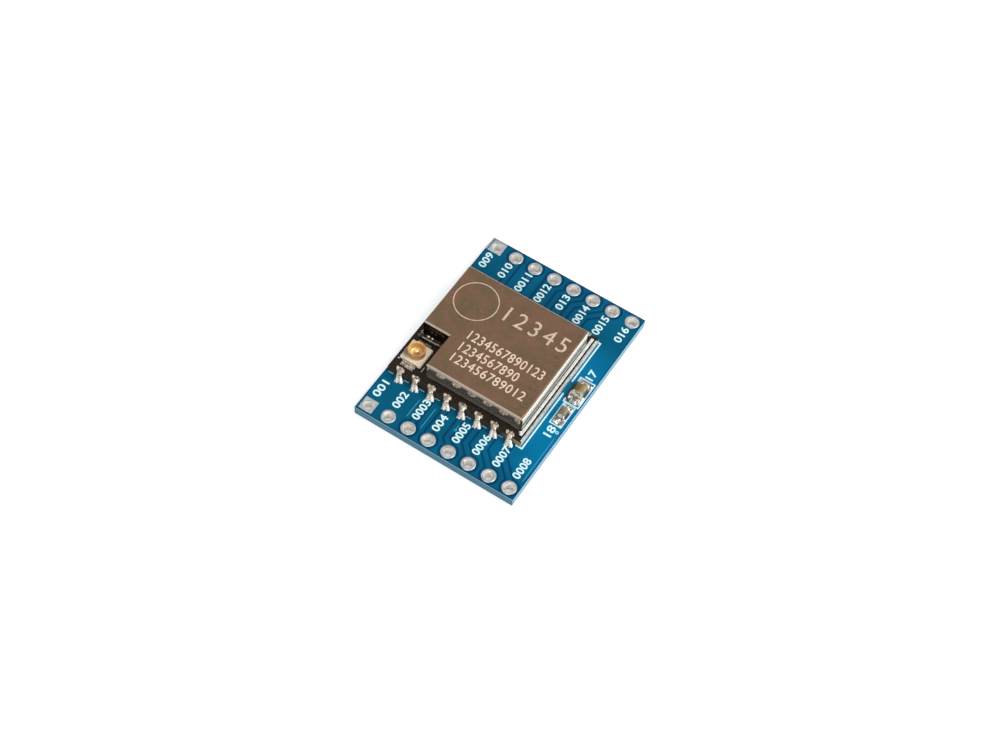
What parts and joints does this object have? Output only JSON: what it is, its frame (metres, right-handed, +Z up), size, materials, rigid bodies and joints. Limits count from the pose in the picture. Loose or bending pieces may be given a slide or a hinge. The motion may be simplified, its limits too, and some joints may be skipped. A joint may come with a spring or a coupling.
{
  "type": "radio module on breakout board",
  "caption": "Shielded radio module with an antenna socket, soldered on a flat breakout board with two rows of plated header holes.",
  "frame": {"origin": "centre of the carrier board's underside, on the surface that it rests on", "axes": "+X along the header rows with the square first pads towards -X, +Y from the front header row to the back one, +Z up through the shield can"},
  "size_m": [0.02, 0.0274, 0.0044],
  "materials": {
    "blue_solder_mask": "blue solder mask over glass-epoxy laminate, satin gloss",
    "tinned_pad": "tinned copper with a low solder crown",
    "module_laminate": "black solder mask, olive laminate at the cut edges",
    "bright_solder": "bright solder",
    "shield_nickel": "satin nickel silver with a brown reflection",
    "socket_plastic": "cream moulded plastic",
    "socket_gold": "gold plated",
    "matching_ceramic": "dark fired ceramic with tinned ends",
    "capacitor_ceramic": "ochre fired ceramic with tinned ends",
    "inner_ceramic": "tan fired ceramic with tinned ends",
    "coil_ferrite": "dark moulded coil",
    "chip_mould": "black moulding compound",
    "crystal_lid": "plain metal lid"
  },
  "bodies": {
    "root": {"carrier_board": "blue_solder_mask", "header_pad_front_1": "tinned_pad", "header_pad_front_2": "tinned_pad", "header_pad_front_3": "tinned_pad", "header_pad_front_4": "tinned_pad", "header_pad_front_5": "tinned_pad", "header_pad_front_6": "tinned_pad", "header_pad_front_7": "tinned_pad", "header_pad_front_8": "tinned_pad", "header_pad_back_1": "tinned_pad", "header_pad_back_2": "tinned_pad", "header_pad_back_3": "tinned_pad", "header_pad_back_4": "tinned_pad", "header_pad_back_5": "tinned_pad", "header_pad_back_6": "tinned_pad", "header_pad_back_7": "tinned_pad", "header_pad_back_8": "tinned_pad", "module_board": "module_laminate", "solder_joint_front_1": "bright_solder", "solder_joint_front_2": "bright_solder", "solder_joint_front_3": "bright_solder", "solder_joint_front_4": "bright_solder", "solder_joint_front_5": "bright_solder", "solder_joint_front_6": "bright_solder", "solder_joint_front_7": "bright_solder", "solder_joint_front_8": "bright_solder", "solder_joint_back_1": "bright_solder", "solder_joint_back_2": "bright_solder", "solder_joint_back_3": "bright_solder", "solder_joint_back_4": "bright_solder", "solder_joint_back_5": "bright_solder", "solder_joint_back_6": "bright_solder", "solder_joint_back_7": "bright_solder", "solder_joint_back_8": "bright_solder", "shield_can": "shield_nickel", "socket_base": "socket_plastic", "socket_shell": "socket_gold", "socket_contact": "socket_gold", "matching_capacitor": "matching_ceramic", "matching_coil": "matching_ceramic", "capacitor_1": "capacitor_ceramic", "capacitor_1_solder_front": "bright_solder", "capacitor_1_solder_back": "bright_solder", "capacitor_2": "capacitor_ceramic", "capacitor_2_solder_front": "bright_solder", "capacitor_2_solder_back": "bright_solder", "transceiver_chip": "chip_mould", "crystal": "crystal_lid", "antenna_switch": "chip_mould", "coil_1": "coil_ferrite", "coil_2": "coil_ferrite", "coil_3": "coil_ferrite", "inner_capacitor_1": "inner_ceramic", "inner_capacitor_2": "inner_ceramic", "inner_capacitor_3": "inner_ceramic", "inner_capacitor_4": "inner_ceramic"}
  },
  "joints": []
}
